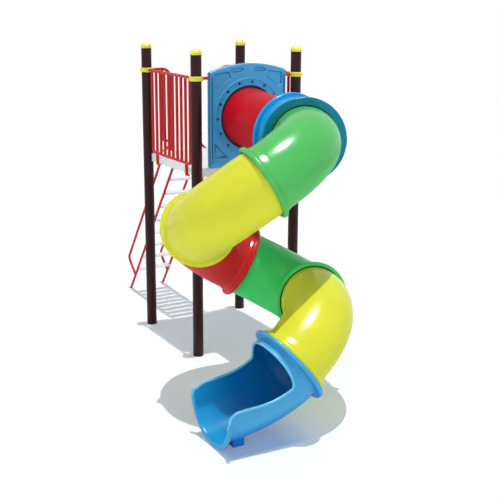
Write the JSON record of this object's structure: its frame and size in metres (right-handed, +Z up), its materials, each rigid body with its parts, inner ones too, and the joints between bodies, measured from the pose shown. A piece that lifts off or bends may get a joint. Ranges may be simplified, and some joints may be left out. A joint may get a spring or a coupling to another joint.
{
  "type": "playground tube slide",
  "caption": "Playground tower with a ladder, guards and an enclosed spiral tube slide of moulded elbows that ends in an open chute.",
  "frame": {"origin": "on the ground, at the middle of the whole object's plan", "axes": "+Z up; +Y from the slide towards the ladder; +X to the right when looking along +Y"},
  "size_m": [2.2272, 5.1544, 3.3254],
  "materials": {
    "post_paint": "dark brown powder coat, satin",
    "rail_paint": "red powder coat, glossy",
    "deck_coat": "white coating, matt",
    "yellow_trim": "yellow moulded plastic",
    "panel_plastic": "blue moulded plastic, fine grain",
    "tube_red": "red moulded plastic, glossy",
    "tube_light_green": "light green moulded plastic, glossy",
    "tube_green": "green moulded plastic, glossy",
    "tube_yellow": "yellow moulded plastic, glossy",
    "collar_plastic": "blue moulded plastic, glossy",
    "chute_plastic": "blue moulded plastic, glossy"
  },
  "bodies": {
    "root": {"entry_tube_red": "tube_red", "collar_blue": "collar_plastic", "elbow_1_green": "tube_light_green", "elbow_2_yellow": "tube_yellow", "elbow_3_red": "tube_red", "elbow_4_green": "tube_green", "elbow_5_yellow": "tube_yellow", "exit_chute_blue": "chute_plastic", "chute_foot": "chute_plastic", "deck": "deck_coat", "entry_ring": "panel_plastic", "entry_panel": "panel_plastic", "entry_panel_rail": "rail_paint", "barrier_left": "rail_paint", "bolt_cap_left_front": "yellow_trim", "bolt_cap_left_back": "yellow_trim", "barrier_right": "rail_paint", "bolt_cap_right_front": "yellow_trim", "bolt_cap_right_back": "yellow_trim", "gate_guard_left": "rail_paint", "gate_clip_left": "yellow_trim", "gate_guard_right": "rail_paint", "gate_clip_right": "yellow_trim", "post_front_left": "post_paint", "post_cap_front_left": "yellow_trim", "clamp_front_left_a": "yellow_trim", "clamp_front_left_b": "yellow_trim", "post_front_right": "post_paint", "post_cap_front_right": "yellow_trim", "clamp_front_right_a": "yellow_trim", "clamp_front_right_b": "yellow_trim", "post_back_left": "post_paint", "post_cap_back_left": "yellow_trim", "clamp_back_left_a": "yellow_trim", "clamp_back_left_b": "yellow_trim", "post_back_right": "post_paint", "post_cap_back_right": "yellow_trim", "clamp_back_right_a": "yellow_trim", "clamp_back_right_b": "yellow_trim", "stringer_left": "rail_paint", "handrail_left": "rail_paint", "stringer_right": "rail_paint", "handrail_right": "rail_paint", "tread_1": "deck_coat", "tread_2": "deck_coat", "tread_3": "deck_coat", "tread_4": "deck_coat", "tread_5": "deck_coat", "tread_6": "deck_coat", "tread_7": "deck_coat", "tread_8": "deck_coat", "tread_9": "deck_coat"}
  },
  "joints": []
}
